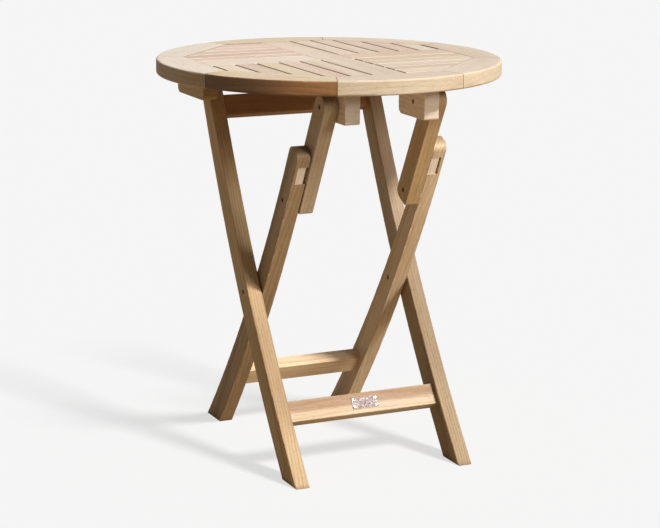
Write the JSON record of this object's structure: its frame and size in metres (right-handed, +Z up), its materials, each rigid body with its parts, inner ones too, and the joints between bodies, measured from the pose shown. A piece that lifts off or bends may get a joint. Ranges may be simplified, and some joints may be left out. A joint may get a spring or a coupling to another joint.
{
  "type": "folding picnic table",
  "caption": "Round slatted folding table: mitred ring round a slatted field, on crossed bowed legs with rails, struts and pivots that fold up under the top.",
  "frame": {"origin": "on the floor, under the middle of the round top, with the table open", "axes": "+Z up, -Y the front (the side with the plate on the bottom rail), the pivots run along X"},
  "size_m": [0.65, 0.65, 0.75],
  "materials": {
    "teak_ring": "oiled teak, satin, darker and lighter segments",
    "teak_field": "oiled teak, satin, pale",
    "teak_frame": "oiled teak, satin",
    "teak_dowel": "end grain, darker",
    "plate_steel": "dull, blank",
    "nail_steel": "bright round heads",
    "brass": "plain",
    "bolt_steel": "zinc plated, hexagon socket"
  },
  "bodies": {
    "top": {"ring_segment_1": "teak_ring", "ring_segment_2": "teak_ring", "ring_segment_3": "teak_ring", "ring_segment_4": "teak_ring", "ring_segment_5": "teak_ring", "ring_segment_6": "teak_ring", "ring_segment_7": "teak_ring", "ring_segment_8": "teak_ring", "centre_board": "teak_field", "cross_board_left": "teak_field", "cross_board_right": "teak_field", "slat_front_left_1": "teak_field", "slat_front_left_2": "teak_field", "slat_front_left_3": "teak_field", "slat_front_left_4": "teak_field", "slat_front_left_5": "teak_field", "slat_back_right_1": "teak_field", "slat_back_right_2": "teak_field", "slat_back_right_3": "teak_field", "slat_back_right_4": "teak_field", "slat_back_right_5": "teak_field", "slat_back_left_1": "teak_field", "slat_back_left_2": "teak_field", "slat_back_left_3": "teak_field", "slat_back_left_4": "teak_field", "slat_back_left_5": "teak_field", "slat_front_right_1": "teak_field", "slat_front_right_2": "teak_field", "slat_front_right_3": "teak_field", "slat_front_right_4": "teak_field", "slat_front_right_5": "teak_field", "front_block_left": "teak_frame", "front_block_right": "teak_frame", "back_block_left": "teak_frame", "back_block_right": "teak_frame", "block_screws": "brass", "block_pivot_bolts": "bolt_steel", "block_pivot_nuts": "bolt_steel", "block_pivot_washers": "bolt_steel"},
    "leg_frame_a": {"leg_a_left": "teak_frame", "leg_a_right": "teak_frame", "rail_a_bottom": "teak_frame", "rail_a_top": "teak_frame", "pins_a": "teak_dowel", "name_plate": "plate_steel", "name_plate_nails": "nail_steel", "cross_bolts": "bolt_steel", "cross_washers": "bolt_steel"},
    "leg_frame_b": {"leg_b_left": "teak_frame", "leg_b_right": "teak_frame", "rail_b_bottom": "teak_frame", "pins_b": "teak_dowel", "stop_block_left": "teak_frame", "stop_block_right": "teak_frame", "cross_nuts": "bolt_steel", "knee_bolts": "bolt_steel", "knee_nuts": "bolt_steel", "knee_washers": "bolt_steel"},
    "strut_left": {"strut_left": "teak_frame"},
    "strut_right": {"strut_right": "teak_frame"}
  },
  "joints": [
    {"name": "fold_legs", "type": "hinge", "parent": "top", "child": "leg_frame_a", "pos_m": [0, 0.182, 0.693], "axis": [-1, 0, 0], "range_deg": [0, 57]},
    {"name": "swing_strut_left", "type": "hinge", "parent": "top", "child": "strut_left", "pos_m": [-0.1088, -0.2225, 0.693], "axis": [1, 0, 0], "range_deg": [0, 61.63]},
    {"name": "swing_strut_right", "type": "hinge", "parent": "top", "child": "strut_right", "pos_m": [0.1088, -0.2225, 0.693], "axis": [1, 0, 0], "range_deg": [0, 61.63]},
    {"name": "bend_knee", "type": "hinge", "parent": "strut_left", "child": "leg_frame_b", "pos_m": [-0.1088, -0.1275, 0.511], "axis": [-1, 0, 0], "range_deg": [0, 171.94]}
  ],
  "couplings": [
    {"joint": "swing_strut_left", "follows": "fold_legs", "ratio": 1.081},
    {"joint": "swing_strut_right", "follows": "fold_legs", "ratio": 1.081},
    {"joint": "bend_knee", "follows": "fold_legs", "ratio": 3.0163}
  ]
}
